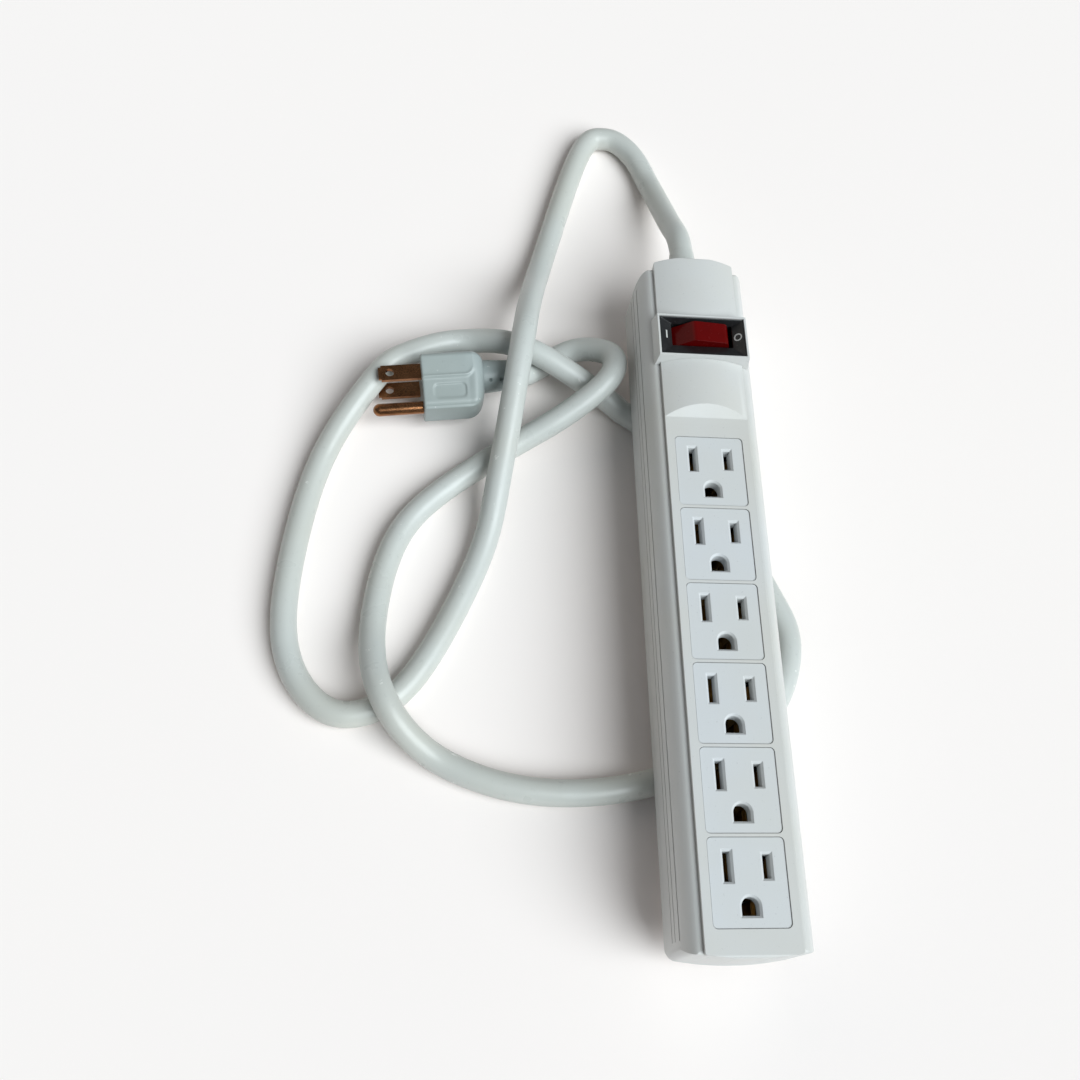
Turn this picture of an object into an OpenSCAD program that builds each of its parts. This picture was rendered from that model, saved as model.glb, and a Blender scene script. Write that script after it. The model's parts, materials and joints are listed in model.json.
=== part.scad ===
// Six-outlet power strip: a moulded two-part housing, a lighted rocker switch
// with its contacts, three bus bars, and a mains lead with a moulded plug.
// Frame: origin at the centre of the housing, +X across to the right,
// +Y along the housing towards the switch and the lead, +Z up out of the outlets.

/* [Housing] */
// Overall length of the housing
body_len = 256; // [250:1:270]
// Overall width of the housing
body_w = 43; // [42:0.5:46]
// Height from the underside to the outlet faces
face_height = 29; // [28:0.5:32]
// Wall thickness of both covers
wall = 2.2; // [1.8:0.1:2.4]
// Width of the raised centre panel
panel_w = 31; // [30:0.5:31]
// Rise of the crowned switch end above the outlet faces
crown_rise = 3; // [2:0.5:3.5]
// Height of the bottom cover's side wall
base_wall = 4; // [3.5:0.5:5]

/* [Outlets] */
// Number of outlets
outlet_count = 6; // [4:1:6]
// Distance from outlet to outlet
outlet_pitch = 28.5; // [28:0.1:29]
// Position along the housing of the first outlet's blade slots
first_outlet_y = 41.5; // [40:0.5:42]
// Distance between the two blade slots
blade_spacing = 12.7; // [12.7]
// Distance from the blade line to the ground hole
ground_offset = 11.9; // [11.9]

/* [Switch] */
// Position of the switch collar along the housing
collar_y = 91.2; // [90:0.1:92]
// Height of the collar's rim above the outlet faces
rim_height = 4.5; // [4:0.5:5]
// Half of the rocker's travel, in degrees
rocker_tilt = 15; // [14:0.5:15]
// Half of the contact lever's travel, in degrees
lever_tilt = 7; // [6.5:0.5:7]

/* [Lead and plug] */
// Outside diameter of the mains lead
cord_d = 9.4; // [8.8:0.1:9.4]
// Height of the lead's exit above the underside
exit_height = 14.75; // [14:0.25:15]
// Length of the plug's moulded body
plug_len = 24; // [22:1:25]
// Length of the plug's flat blades
blade_len = 16; // [15.9:0.1:17]
// Length of the plug's ground pin
pin_len = 19; // [18:0.5:20]

/* [Hidden] */

$fn = 48;
eps = 0.01;
big = 400;

// Heights. The origin is half way between the underside and the collar's rim.
base_z = -(face_height + rim_height) / 2;
face_z = base_z + face_height;
rim_z = face_z + rim_height;
crown_z = face_z + crown_rise;
split_z = base_z + base_wall;
floor_z = base_z + wall;

// Plan
half_len = body_len / 2;
half_w = body_w / 2;
panel_half = panel_w / 2;
shoulder_end = half_len - 2;
end_bow = 2.2;
bow_r = (half_w * half_w + end_bow * end_bow) / (2 * end_bow);
corner_r = 4;
shoulder_r = 3;
panel_edge_r = 1;
ramp_y = 58.4;
ramp_len = 4.3;

// Section
shoulder_top = face_z - 1.5;
shoulder_x = panel_half + 0.8;
shoulder_low = -2;
ceiling_z = face_z - 3.65;
cavity_half = half_w - wall;
cavity_shoulder_x = panel_half - 1.2;

// Outlet faces
tile_w = 24.7;
tile_len = 27.2;
tile_gap = 0.15;
tile_shift = -4.8;
tile_r = 1.5;
tile_sink = 0.3;
flange_w = 26.6;
flange_t = 1.3;
slot_w = 2.4;
slot_chamfer = 0.75;
neutral_slot_len = 9.2;
hot_slot_len = 7.4;
ground_hole_w = 5.6;

// Switch. The rocker's mouth sits a little right of the middle, clear of the wider on mark.
switch_x = 0.6;
switch_y = 93.3;
collar_x = 0.3;
collar_half_x = 17;
collar_half_y = 9.05;
collar_draft = 1.1;
rim_w = 0.75;
well_x0 = collar_x - collar_half_x + rim_w;
well_x1 = collar_x + collar_half_x - rim_w;
well_y0 = collar_y - collar_half_y + rim_w;
well_y1 = collar_y + collar_half_y - rim_w;
well_top = rim_z - 0.5;
mouth_x0 = -10.8;
mouth_x1 = 12.4;
mouth_y0 = 88.6;
mouth_y1 = 98.2;
mouth_z = rim_z - 3.35;
frame_low = 6.6;
tray_half_x = 15.5;
tray_low = 1.5;
housing_half_x = 13.8;
housing_half_y = 6;
housing_wall = 1.2;
housing_top = frame_low - 0.1;
housing_low = -9;
pivot_z = 4.1;
rocker_w = 8.6;
rocker_half = 12.2;
rocker_low = 2;
ridge_h = 13.1;
ridge_r = 3;
facet_angle = 20.6;
corner_round = 2;
trunnion_r = 1.5;
running_gap = 0.06;
lever_z = -4.3;
lever_boss_r = 1.4;
lever_t = 0.9;
lever_half = 8.6;
contact_x = 7.5;
contact_r = 1.3;
contact_h = 0.8;
tip_r = 1.4;
tip_drop = 5.3;

// Length of the strain relief outside the housing
gland_len = 14;

// Bus bars
bar_t = 0.8;
bar_z = -8.4;
ground_bar_z = -11.9;
bar_w = 6;
bar_start = 60;
blade_x = blade_spacing / 2;
leaf_t = 0.5;
leaf_gap = 1.7;
leaf_top = 4;
ground_leaf_gap = 4.9;

// Screws
screw_x = 16.2;
screw_ys = [-118, -58.25, -1.25, 62, 112];
screw_r = 1.25;
boss_r = 2.6;

// Lead and plug
exit_z = base_z + exit_height;
cord_r = cord_d / 2;
floor_gap = 0.25;
ground_z = base_z - cord_d - floor_gap;
lay_z = ground_z + cord_r;
clamp_y = 112;
plug_at = [-104, 85.2, ground_z + 12.4];
plug_yaw = 7;
plug_half = 12.3;
relief_len = 13;
keyhole_ys = [-86.75, 27.25];

housing_color = [0.86, 0.85, 0.81];
black = [0.06, 0.06, 0.07];
brass = [0.78, 0.62, 0.32];
steel = [0.7, 0.7, 0.72];

// ---- helpers ----

function blade_y(k) = first_outlet_y - (k - 1) * outlet_pitch;

function arc(cx, cy, rx, ry, a0, a1, n = 12) =
    [for (i = [0 : n]) let (a = a0 + (a1 - a0) * i / n) [cx + rx * cos(a), cy + ry * sin(a)]];

function mirrored(pts) = concat(pts, [for (i = [len(pts) - 1 : -1 : 0]) [-pts[i][0], pts[i][1]]]);

// End line of the housing, bowed outwards at the middle
function bow(x) = sqrt(bow_r * bow_r - x * x) - bow_r;

function end_points(w, y, s, r) =
    let (cx = w - r, cy = y + s * (bow(cx) - r))
    concat([for (p = arc(cx, cy, r, s * r, 0, 90, 8)) p],
           [for (i = [1 : 8]) let (x = cx * (1 - i / 8)) [x, y + s * bow(x)]]);

function reversed(v) = [for (i = [len(v) - 1 : -1 : 0]) v[i]];

// Plan outline with bowed ends and round corners
function plan(w, y0, y1, r) =
    let (right = concat(reversed(end_points(w, y0, -1, r)), end_points(w, y1, 1, r)))
    concat(right, [for (i = [len(right) - 2 : -1 : 1]) [-right[i][0], right[i][1]]]);

module along_y(y0, y1) {
    translate([0, y1, 0]) rotate([90, 0, 0]) linear_extrude(y1 - y0) children();
}

module along_x(x0, x1) {
    translate([x0, 0, 0]) rotate([90, 0, 90]) linear_extrude(x1 - x0) children();
}

module slab(z0, z1) {
    translate([0, 0, z0]) linear_extrude(z1 - z0) children();
}

module box(x0, x1, y0, y1, z0, z1) {
    translate([x0, y0, z0]) cube([x1 - x0, y1 - y0, z1 - z0]);
}

module rod(x, y, z0, z1, r) {
    translate([x, y, z0]) cylinder(h = z1 - z0, r = r);
}

module rod_y(x, z, y0, y1, r) {
    translate([x, y1, z]) rotate([90, 0, 0]) cylinder(h = y1 - y0, r = r);
}

module rounded_rect(w, l, r) {
    for (sx = [-1, 1], sy = [-1, 1]) translate([sx * (w / 2 - r), sy * (l / 2 - r)]) circle(r);
    square([w, l - 2 * r], center = true);
    square([w - 2 * r, l], center = true);
}

// A block whose four sides slope, as two crossed wedges
module frustum(x0, x1, y0, y1, z0, z1, lowx0, lowx1, lowy0, lowy1) {
    intersection() {
        along_y(min(y0, lowy0) - 1, max(y1, lowy1) + 1)
            polygon([[lowx0, z0], [lowx1, z0], [x1, z1], [x0, z1]]);
        along_x(min(x0, lowx0) - 1, max(x1, lowx1) + 1)
            polygon([[lowy0, z0], [lowy1, z0], [y1, z1], [y0, z1]]);
    }
}

// Smooth curve through hand-placed points
function spline_point(p0, p1, p2, p3, t) =
    0.5 * (2 * p1 + (p2 - p0) * t + (2 * p0 - 5 * p1 + 4 * p2 - p3) * t * t
           + (3 * p1 - p0 - 3 * p2 + p3) * t * t * t);

function spline(pts, n) =
    let (m = len(pts) - 1)
    concat([for (i = [0 : m - 1], j = [0 : n - 1])
                spline_point(pts[max(i - 1, 0)], pts[i], pts[i + 1], pts[min(i + 2, m)], j / n)],
           [pts[m]]);

// Keeps a curve from dipping under the height at which the lead lies
function on_floor(pts) = [for (p = pts) [p[0], p[1], max(p[2], lay_z)]];

function unit(v) = v / norm(v);

// Side vectors carried along the curve without twisting
function carried(d, i, side) =
    i == len(d) ? [] :
    let (s = unit(side - (side * d[i]) * d[i])) concat([s], carried(d, i + 1, s));

module tube(pts, r, sides, start = [1, 0, 0]) {
    n = len(pts);
    d = [for (i = [0 : n - 1]) unit(pts[min(i + 1, n - 1)] - pts[max(i - 1, 0)])];
    s = carried(d, 0, start);
    rings = [for (i = [0 : n - 1], k = [0 : sides - 1])
                let (a = 360 * k / sides, u = cross(d[i], s[i]))
                pts[i] + r * (cos(a) * s[i] + sin(a) * u)];
    walls = [for (i = [0 : n - 2], k = [0 : sides - 1])
                let (a = i * sides + k, b = i * sides + (k + 1) % sides)
                [a, a + sides, b + sides, b]];
    ends = [[for (k = [0 : sides - 1]) k],
            [for (k = [sides - 1 : -1 : 0]) (n - 1) * sides + k]];
    polyhedron(points = rings, faces = concat(walls, ends), convexity = 10);
}

// ---- covers ----

function cover_section() = mirrored(concat(
    [[half_w, split_z]],
    arc(shoulder_x, shoulder_low, half_w - shoulder_x, shoulder_top - shoulder_low, 0, 90, 14)));

function cavity_section() = mirrored(concat(
    [[cavity_half, base_z]],
    arc(cavity_shoulder_x, shoulder_low, cavity_half - cavity_shoulder_x,
        ceiling_z - shoulder_low, 0, 90, 10)));

function end_rounded(y0, y1, low, high, r) = concat(
    [[y0, low]], arc(y0 + r, high - r, r, r, 180, 90, 8), arc(y1 - r, high - r, r, r, 90, 0, 8), [[y1, low]]);

function crown_section() =
    let (r = (panel_half * panel_half + crown_rise * crown_rise) / (2 * crown_rise),
         a = asin(panel_half / r))
    concat([[-panel_half, ceiling_z - 1], [panel_half, ceiling_z - 1]], arc(0, crown_z - r, r, r, 90 - a, 90 + a, 24));

module shoulders() {
    intersection() {
        along_y(-half_len, shoulder_end) polygon(cover_section());
        along_x(-half_w, half_w) polygon(end_rounded(-half_len, shoulder_end, split_z, shoulder_top, shoulder_r));
        slab(split_z, shoulder_top) polygon(plan(half_w, -half_len, shoulder_end, corner_r));
    }
}

module panel() {
    intersection() {
        slab(split_z + 2, crown_z + 1) polygon(plan(panel_half, -half_len, half_len, 0.8));
        union() {
            along_x(-panel_half, panel_half)
                polygon(end_rounded(-half_len, half_len, split_z + 2, face_z, panel_edge_r));
            intersection() {
                along_y(ramp_y, half_len) polygon(crown_section());
                along_x(-panel_half, panel_half) polygon(concat(
                    [[ramp_y, ceiling_z], [ramp_y, face_z], [ramp_y + ramp_len, crown_z]],
                    arc(half_len - panel_edge_r, crown_z - panel_edge_r, panel_edge_r, panel_edge_r, 90, 0, 8),
                    [[half_len, ceiling_z]]));
            }
        }
    }
}

module collar() {
    reach_x = collar_half_x + collar_draft;
    reach_y = collar_half_y + collar_draft;
    frustum(collar_x - collar_half_x, collar_x + collar_half_x, collar_y - collar_half_y, collar_y + collar_half_y,
            shoulder_top - 2, rim_z,
            collar_x - reach_x, collar_x + reach_x, collar_y - reach_y, collar_y + reach_y);
}

module cover_cavity() {
    intersection() {
        along_y(-half_len + wall, shoulder_end - wall) polygon(cavity_section());
        slab(base_z, ceiling_z) polygon(plan(cavity_half, -half_len + wall, shoulder_end - wall, corner_r - 1.5));
    }
}

module tile_window(k) {
    translate([0, blade_y(k) + tile_shift, ceiling_z - 1]) linear_extrude(face_z - ceiling_z + 3)
        rounded_rect(tile_w + 2 * tile_gap, tile_len + 2 * tile_gap, tile_r + tile_gap);
}

module pinstripes() {
    for (z = [-4.5, -0.5, 3.5], s = [-1, 1])
        let (x = z < shoulder_low ? half_w
                 : shoulder_x + (half_w - shoulder_x) * sqrt(1 - pow((z - shoulder_low) / (shoulder_top - shoulder_low), 2)))
        box(s > 0 ? x - 0.35 : -x - 1, s > 0 ? x + 1 : -x + 0.35, -half_len + 6, shoulder_end - 6, z - 0.25, z + 0.25);
}

module top_cover() {
    color(housing_color) difference() {
        union() {
            difference() {
                union() {
                    shoulders();
                    panel();
                    collar();
                }
                cover_cavity();
                pinstripes();
            }
            for (y = screw_ys, s = [-1, 1]) rod(s * screw_x, y, split_z, ceiling_z, boss_r);
        }
        for (k = [1 : outlet_count]) tile_window(k);
        box(well_x0, well_x1, well_y0, well_y1, frame_low - 1, rim_z + 1);
        rod_y(0, exit_z, shoulder_end - 5, half_len + 1, 6.5);
        for (y = screw_ys, s = [-1, 1]) rod(s * screw_x, y, split_z - 1, 2, screw_r + 0.05);
    }
}

module keyhole(y) {
    rod(0, y, base_z - 1, floor_z + 1, 4.5);
    box(-2.1, 2.1, y, y + 9, base_z - 1, floor_z + 1);
    rod(0, y + 9, base_z - 1, floor_z + 1, 2.1);
}

module bottom_cover() {
    color(housing_color) difference() {
        union() {
            difference() {
                slab(base_z, split_z) polygon(plan(half_w, -half_len, shoulder_end, corner_r));
                slab(floor_z, split_z + 1)
                    polygon(plan(cavity_half, -half_len + wall, shoulder_end - wall, corner_r - 1.5));
            }
            for (y = screw_ys, s = [-1, 1]) rod(s * screw_x, y, base_z, split_z, 3.05);
            // posts under the bus bars
            for (k = [1 : outlet_count], s = [-1, 1])
                box(s * blade_x - 1.6, s * blade_x + 1.6, blade_y(k) - 16.2, blade_y(k) - 13.8, base_z, bar_z - bar_t / 2);
            for (k = [1 : outlet_count - 1])
                box(-1.6, 1.6, blade_y(k) - 1.2, blade_y(k) + 1.2, base_z, ground_bar_z - bar_t / 2);
            // saddle under the lead
            box(-11, 11, clamp_y - 4, clamp_y + 4, base_z, exit_z - 1);
        }
        for (y = keyhole_ys) keyhole(y);
        for (y = screw_ys, s = [-1, 1]) {
            rod(s * screw_x, y, base_z - 1, floor_z - 0.3, 2.45);
            rod(s * screw_x, y, base_z - 1, split_z + 1, 1.5);
        }
        rod_y(0, exit_z, clamp_y - 5, clamp_y + 5, cord_r + 0.05);
        for (s = [-1, 1]) rod(s * 8.2, clamp_y, exit_z - 8, exit_z, 1.3);
    }
}

// ---- outlet faces ----

module chamfered_slot(x, len) {
    top = face_z - tile_sink;
    c = slot_chamfer;
    box(x - slot_w / 2, x + slot_w / 2, -len / 2, len / 2, 0, top + 1);
    frustum(x - slot_w / 2 - c, x + slot_w / 2 + c, -len / 2 - c, len / 2 + c, top - c, top + eps,
            x - slot_w / 2, x + slot_w / 2, -len / 2, len / 2);
}

module ground_hole() {
    top = face_z - tile_sink;
    r = ground_hole_w / 2;
    c = slot_chamfer;
    rod(0, 0, 0, top + 1, r);
    box(-r, r, -r, 0, 0, top + 1);
    translate([0, 0, top - c]) cylinder(h = c + eps, r1 = r, r2 = r + c);
    frustum(-r - c, r + c, -r - c, 0, top - c, top + eps, -r, r, -r, 0);
}

module outlet_face(k) {
    color(housing_color) translate([0, blade_y(k), 0]) difference() {
        union() {
            translate([0, tile_shift, ceiling_z - 0.5]) linear_extrude(face_z - tile_sink - ceiling_z + 0.5)
                rounded_rect(tile_w, tile_len, tile_r);
            box(-flange_w / 2, flange_w / 2, tile_shift - tile_len / 2, tile_shift + tile_len / 2,
                ceiling_z - 0.1 - flange_t, ceiling_z - 0.1);
        }
        chamfered_slot(-blade_x, neutral_slot_len);
        chamfered_slot(blade_x, hot_slot_len);
        translate([0, -ground_offset, 0]) ground_hole();
    }
}

// ---- switch ----

// A funnel down to the rocker's mouth, hollow beneath so that the rocker's ends can swing
module switch_frame() {
    x0 = well_x0 + 0.05;
    x1 = well_x1 - 0.05;
    y0 = well_y0 + 0.05;
    y1 = well_y1 - 0.05;
    color(black) difference() {
        box(x0, x1, y0, y1, frame_low, well_top);
        frustum(x0 + 0.4, x1 - 0.4, y0 + 0.4, y1 - 0.4, mouth_z, well_top + eps, mouth_x0, mouth_x1, mouth_y0, mouth_y1);
        box(mouth_x0, mouth_x1, mouth_y0, mouth_y1, frame_low - 1, mouth_z + 1);
        frustum(mouth_x0 - 0.3, mouth_x1 + 0.3, mouth_y0 - 0.3, mouth_y1 + 0.2, frame_low - eps, mouth_z - 0.5,
                x0 + 1, x1 - 1, y0 + 1, y1 - 1);
    }
}

// Places something in the switch's own frame: x across, z from the given height
module in_switch(z) {
    translate([switch_x, switch_y, z]) children();
}

module switch_housing() {
    hx = housing_half_x;
    hy = housing_half_y;
    w = housing_wall;
    inner_y = hy - w - 0.2;
    color(black) in_switch(0) difference() {
        union() {
            box(-hx, hx, -hy, hy, housing_low, tray_low + w);
            box(-tray_half_x, tray_half_x, -hy, hy, tray_low, housing_top);
        }
        box(-hx + w, hx - w, -inner_y, inner_y, housing_low + w, housing_top + 1);
        box(-tray_half_x + w, tray_half_x - w, -inner_y, inner_y, tray_low + w, housing_top + 1);
        rod_y(0, pivot_z, -hy - 1, hy + 1, trunnion_r + running_gap);
        for (x = [0, 8.9, -9]) box(x - 0.45, x + 0.45, -2.4, 2.4, housing_low - 1, housing_low + w + 1);
    }
}

// Raised marks on the sloping ends of the frame: a bar for on, a ring for off
module end_slope(outer, inner) {
    run = abs(outer - inner);
    rise = well_top - mouth_z;
    translate([(outer + inner) / 2, 92.5, mouth_z + rise / 2])
        rotate([0, outer > inner ? -atan2(rise, run) : atan2(rise, run), 0]) children();
}

module on_mark() {
    color("white") end_slope(well_x0 + 0.45, mouth_x0) translate([-0.35, -1.7, -0.05]) cube([0.7, 3.4, 0.13]);
}

module off_mark() {
    color("white") end_slope(well_x1 - 0.45, mouth_x1) translate([0, 0, -0.05]) difference() {
        cylinder(h = 0.13, r = 1.6);
        translate([0, 0, -1]) cylinder(h = 3, r = 1.1);
    }
}

// The rocker and what rides in it are drawn level, then tipped to the on position
module tipped() {
    in_switch(pivot_z) rotate([0, -rocker_tilt, 0]) children();
}

function roof(x) = ridge_h - abs(x) * tan(facet_angle);

// Half outline of the rocker, from its low edge up to the ridge, drawn a wall inside the full one
function rocker_half_outline(inset) =
    let (c = corner_round, a = facet_angle, x = rocker_half - inset,
         cx = x - c, cz = roof(cx) - inset / cos(a) - c / cos(a),
         rz = ridge_h - inset / cos(a) - ridge_r / cos(a))
    concat([[x - 0.8, rocker_low], [x, rocker_low + 2]],
           arc(cx, cz, c, c, 0, 90 - a, 6),
           arc(0, rz, ridge_r, ridge_r, 90 - a, 90, 4));

module rocker() {
    w = rocker_w / 2;
    color([0.72, 0.03, 0.03]) tipped() difference() {
        union() {
            difference() {
                along_y(-w, w) polygon(mirrored(rocker_half_outline(0)));
                along_y(-w + 1, w - 1) polygon(mirrored(concat([[rocker_half - 2.2, rocker_low - 1]],
                    [for (p = rocker_half_outline(1.3)) if (p[1] > rocker_low + 1) p])));
            }
            rod(0, 0, -1.9, ridge_h - 1.6, 2.3);
            for (s = [-1, 1]) {
                box(-2, 2, s > 0 ? w - 1 : -w, s > 0 ? w : 1 - w, -1, rocker_low + 1);
                rod_y(0, 0, s > 0 ? w - 1.4 : -w - 1.6, s > 0 ? w + 1.6 : 1.4 - w, trunnion_r);
            }
            rod_y(0, 0, -w, w, 1.6);
        }
        rod(0, 0, -5, 6, 1.5);
    }
}

module neon_lamp() {
    color([0.95, 0.6, 0.4]) tipped() translate([2.9, 0, 5.6]) rotate([0, 90, 0]) {
        cylinder(h = 4.6, r = 1.7);
        translate([0, 0, 4.6]) sphere(1.7);
    }
}

module lamp_resistor() {
    color([0.75, 0.62, 0.42]) tipped() translate([-8.2, 0, 5]) rotate([0, 90, 0]) cylinder(h = 5.2, r = 1.1);
}

module plunger() {
    color([0.9, 0.9, 0.88]) tipped() {
        rod(0, 0, -tip_drop, 0, tip_r);
        translate([0, 0, -tip_drop]) sphere(tip_r);
    }
}

module plunger_spring() {
    turns = 5;
    color(steel) tipped() tube([for (i = [0 : turns * 12]) let (a = i * 30)
        [1.05 * cos(a), 1.05 * sin(a), 0.3 + 5 * i / (turns * 12)]], 0.22, 6, [1, 0, 0]);
}

module levered() {
    in_switch(lever_z) rotate([0, lever_tilt, 0]) children();
}

module contact_lever() {
    color(brass) levered() difference() {
        union() {
            box(-lever_half, lever_half, -1.7, 1.7, lever_boss_r - lever_t, lever_boss_r);
            rod_y(0, 0, -1.7, 1.7, lever_boss_r);
        }
        rod_y(0, 0, -3, 3, 0.8 + running_gap);
    }
}

module moving_contact() {
    color(steel) levered() rod(contact_x, 0, lever_boss_r - lever_t - contact_h, lever_boss_r - lever_t, contact_r);
}

module fixed_contact() {
    color(steel) in_switch(0) rod(contact_x, 0, -6.5, -5.7, contact_r);
}

module lever_pin() {
    color(steel) in_switch(lever_z) rod_y(0, 0, -3.1, 3.1, 0.8);
}

module line_terminal() {
    color(brass) in_switch(0) difference() {
        union() {
            for (y = [-2.65, 2.65]) box(-1.6, 1.6, y - 0.4, y + 0.4, -7.8, lever_z + 1.5);
            box(-1.6, 1.6, -3.05, 3.05, -7.8, -7.1);
            box(-0.4, 0.4, -2.3, 2.3, -12.6, -7.1);
        }
        rod_y(0, lever_z, -4, 4, 0.8);
    }
}

module load_terminal() {
    color(brass) in_switch(0) {
        box(5.6, 9.3, -2.3, 2.3, -7.3, -6.5);
        box(8.5, 9.3, -2.3, 2.3, -12.6, -6.5);
    }
}

module lamp_terminal() {
    color(brass) in_switch(0) {
        box(-9.4, -8.6, -2.3, 2.3, -12.6, -6.5);
        box(-9.4, -6.8, -2.3, 2.3, -7.3, -6.5);
    }
}

// ---- bus bars ----

module contact_pair(gap, half, z0, z1) {
    for (s = [-1, 1]) {
        box(s > 0 ? gap / 2 : -gap / 2 - leaf_t, s > 0 ? gap / 2 + leaf_t : -gap / 2, -half, half, z0, z1);
        translate([s * (gap / 2 + leaf_t / 2), 0, z1 - 0.2]) rotate([0, s * 28, 0])
            box(-leaf_t / 2, leaf_t / 2, -half, half, 0, 1.8);
    }
}

module blade_bus_bar(x) {
    last = blade_y(outlet_count) - 8;
    color(brass) {
        box(x - bar_w / 2, x + bar_w / 2, last, bar_start, bar_z - bar_t / 2, bar_z + bar_t / 2);
        for (k = [1 : outlet_count]) translate([x, blade_y(k), 0]) contact_pair(leaf_gap, 3.2, bar_z, leaf_top);
    }
}

module hot_bus_bar() { blade_bus_bar(blade_x); }

module neutral_bus_bar() { blade_bus_bar(-blade_x); }

module ground_bus_bar() {
    last = blade_y(outlet_count) - ground_offset - 4;
    color(brass) {
        box(-bar_w / 2, bar_w / 2, last, bar_start, ground_bar_z - bar_t / 2, ground_bar_z + bar_t / 2);
        for (k = [1 : outlet_count]) translate([0, blade_y(k) - ground_offset, 0])
            contact_pair(ground_leaf_gap, 2.4, ground_bar_z, leaf_top - 1);
    }
}

// Fibre sheet lying in the bottom cover under the bars, clear of every post and screw boss
module insulating_sheet() {
    color([0.55, 0.57, 0.5]) difference() {
        box(-12.4, 12.4, blade_y(outlet_count) - 24, 70, floor_z, floor_z + 0.4);
        for (k = [1 : outlet_count], s = [-1, 1])
            box(s * blade_x - 1.8, s * blade_x + 1.8, blade_y(k) - 16.4, blade_y(k) - 13.6, floor_z - 1, floor_z + 1);
        for (k = [1 : outlet_count - 1])
            box(-1.8, 1.8, blade_y(k) - 1.4, blade_y(k) + 1.4, floor_z - 1, floor_z + 1);
        for (y = keyhole_ys) box(-5, 5, y - 5, y + 12, floor_z - 1, floor_z + 1);
    }
}

module bus_rivets() {
    color(steel) {
        for (x = [-blade_x, blade_x]) rod(x, bar_start - 3, bar_z + bar_t / 2, bar_z + bar_t / 2 + 0.9, 1.8);
        rod(0, bar_start - 3, ground_bar_z + bar_t / 2, ground_bar_z + bar_t / 2 + 0.9, 1.8);
    }
}

// ---- leads inside the housing ----

lead_r = 1.35;

line_route = [[2.3, 107.6, -3.2], [2.3, 105.8, -3.2], [2.9, 103.3, -5.6], [2.9, 101.5, -9.4],
              [2.7, 98, -11.4], [2.35, 93.3, -11.2]];
neutral_route = [[-2.3, 107.6, -3.2], [-2.3, 105.8, -3.2], [-8.5, 103, -6.5], [-15.6, 99.5, -9], [-16.6, 92, -9.4],
                 [-15, 83, -9], [-10, 73, -7.2], [-6.6, 66, -6.6], [-6.35, 59.2, -6.6]];
ground_route = [[0, 107.6, 0.6], [0.3, 105.8, 0.9], [8.5, 103.6, -0.6], [15.6, 100, -8.5], [16.9, 92, -10.4],
                [14.5, 83, -12], [8.5, 74, -12.6], [2.2, 66.5, -11], [0, 59.2, -10.1]];
load_route = [[11.2, 93.3, -11.2], [11, 87, -11.2], [9.2, 80, -9.8], [7.2, 71, -7.4], [6.4, 65, -6.6], [6.35, 59.2, -6.6]];

module lead(route, tint) {
    color(tint) tube(spline(route, 4), lead_r, 8, [0, 0, 1]);
}

module line_lead() { lead(line_route, [0.08, 0.08, 0.08]); }

module neutral_lead() { lead(neutral_route, [0.92, 0.92, 0.9]); }

module ground_lead() { lead(ground_route, [0.1, 0.45, 0.2]); }

module load_lead() { lead(load_route, [0.08, 0.08, 0.08]); }

// ---- fasteners and the lead's exit ----

module case_screws() {
    color(steel) for (y = screw_ys, s = [-1, 1]) {
        rod(s * screw_x, y, floor_z - 2.1, floor_z - 0.35, 2.35);
        rod(s * screw_x, y, floor_z - 0.4, -2, screw_r);
    }
}

module cord_clamp() {
    color([0.8, 0.8, 0.78]) difference() {
        box(-11, 11, clamp_y - 3.5, clamp_y + 3.5, exit_z - 0.8, exit_z + 6.6);
        rod_y(0, exit_z, clamp_y - 5, clamp_y + 5, cord_r + 0.05);
        for (s = [-1, 1]) {
            rod(s * 8.2, clamp_y, exit_z - 2, exit_z + 8, 1.3);
            box(s > 0 ? 5.8 : -12, s > 0 ? 12 : -5.8, clamp_y - 5, clamp_y + 5, exit_z + 2.2, exit_z + 8);
        }
    }
}

module clamp_screws() {
    color(steel) for (s = [-1, 1]) {
        rod(s * 8.2, clamp_y, exit_z + 2.25, exit_z + 3.8, 2.3);
        rod(s * 8.2, clamp_y, exit_z - 7, exit_z + 2.3, 1.2);
    }
}

// Moulded bush: a flange each side of the end wall and a short taper outside
module cord_gland() {
    y1 = shoulder_end;
    color(housing_color) difference() {
        union() {
            rod_y(0, exit_z, y1 - wall - 2, y1 - wall - 0.45, 8);
            rod_y(0, exit_z, y1 - wall - 7, y1 - wall - 0.5, 6);
            rod_y(0, exit_z, y1 - wall - 0.5, half_len + 0.3, 6.4);
            translate([0, half_len + 0.3, exit_z]) rotate([-90, 0, 0]) cylinder(h = gland_len, r1 = 6.3, r2 = cord_r + 0.25);
        }
        rod_y(0, exit_z, y1 - 30, half_len + 20, cord_r + 0.05);
    }
}

// ---- the lead, laid on the surface and passing twice under the housing ----

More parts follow.
